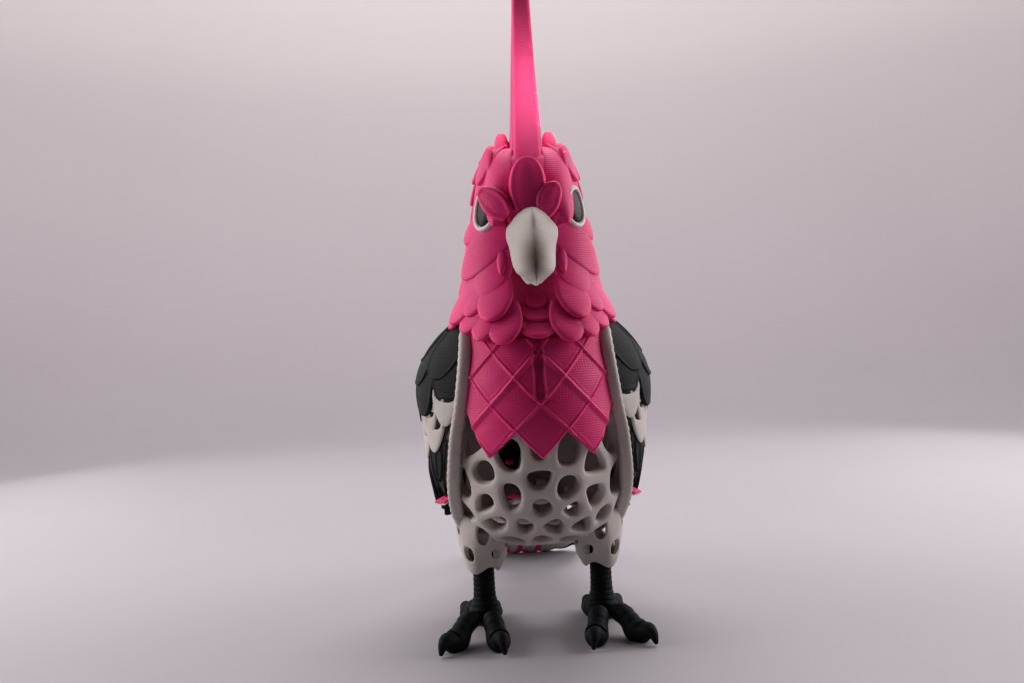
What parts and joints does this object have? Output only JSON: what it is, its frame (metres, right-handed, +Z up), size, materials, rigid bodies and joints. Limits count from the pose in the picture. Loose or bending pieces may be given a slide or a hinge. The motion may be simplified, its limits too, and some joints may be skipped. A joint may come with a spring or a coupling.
{
  "type": "galah figurine",
  "caption": "Life-size galah figurine in printed plastic: tall crest, hooked bill, breast shield, folded wings, openwork body, scaled feet and a tail that reaches the floor.",
  "frame": {"origin": "on the floor, under the middle of the figurine's length and width", "axes": "+Z up, -Y the way the bird faces, +X towards the bird's left wing"},
  "size_m": [0.1028, 0.1994, 0.2835],
  "materials": {
    "pink_plastic": "glossy hot-pink printed filament with fine layer lines",
    "light_grey_plastic": "satin light-grey printed filament with fine layer lines",
    "dark_grey_plastic": "matt dark-grey printed filament with fine layer lines",
    "bone_white_plastic": "satin off-white printed filament",
    "eye_grey_plastic": "smooth dark-grey printed filament"
  },
  "bodies": {
    "root": {"beak_lower": "bone_white_plastic", "beak_upper": "bone_white_plastic", "breast_shield": "pink_plastic", "crest": "pink_plastic", "crown_tuft_l": "pink_plastic", "crown_tuft_r": "pink_plastic", "eye_l": "eye_grey_plastic", "eye_r": "eye_grey_plastic", "eye_ring_l": "bone_white_plastic", "eye_ring_r": "bone_white_plastic", "head": "pink_plastic", "hood": "pink_plastic", "leg_l": "dark_grey_plastic", "leg_r": "dark_grey_plastic", "mantle": "dark_grey_plastic", "tail": "dark_grey_plastic", "thigh_l": "light_grey_plastic", "thigh_r": "light_grey_plastic", "toe_front_inner_l": "dark_grey_plastic", "toe_front_inner_r": "dark_grey_plastic", "toe_front_outer_l": "dark_grey_plastic", "toe_front_outer_r": "dark_grey_plastic", "toe_rear_inner_l": "dark_grey_plastic", "toe_rear_inner_r": "dark_grey_plastic", "toe_rear_outer_l": "dark_grey_plastic", "toe_rear_outer_r": "dark_grey_plastic", "trunk_back": "light_grey_plastic", "trunk_belly": "light_grey_plastic", "trunk_breast": "light_grey_plastic", "trunk_flank_l": "light_grey_plastic", "trunk_flank_r": "light_grey_plastic", "trunk_rump": "light_grey_plastic", "trunk_vent": "light_grey_plastic", "undertail_coverts": "light_grey_plastic", "wing_coverts_l": "light_grey_plastic", "wing_coverts_r": "light_grey_plastic", "wing_flights_l": "dark_grey_plastic", "wing_flights_r": "dark_grey_plastic", "wing_plate_l": "light_grey_plastic", "wing_plate_r": "light_grey_plastic", "wing_shoulder_l": "dark_grey_plastic", "wing_shoulder_r": "dark_grey_plastic"}
  },
  "joints": []
}
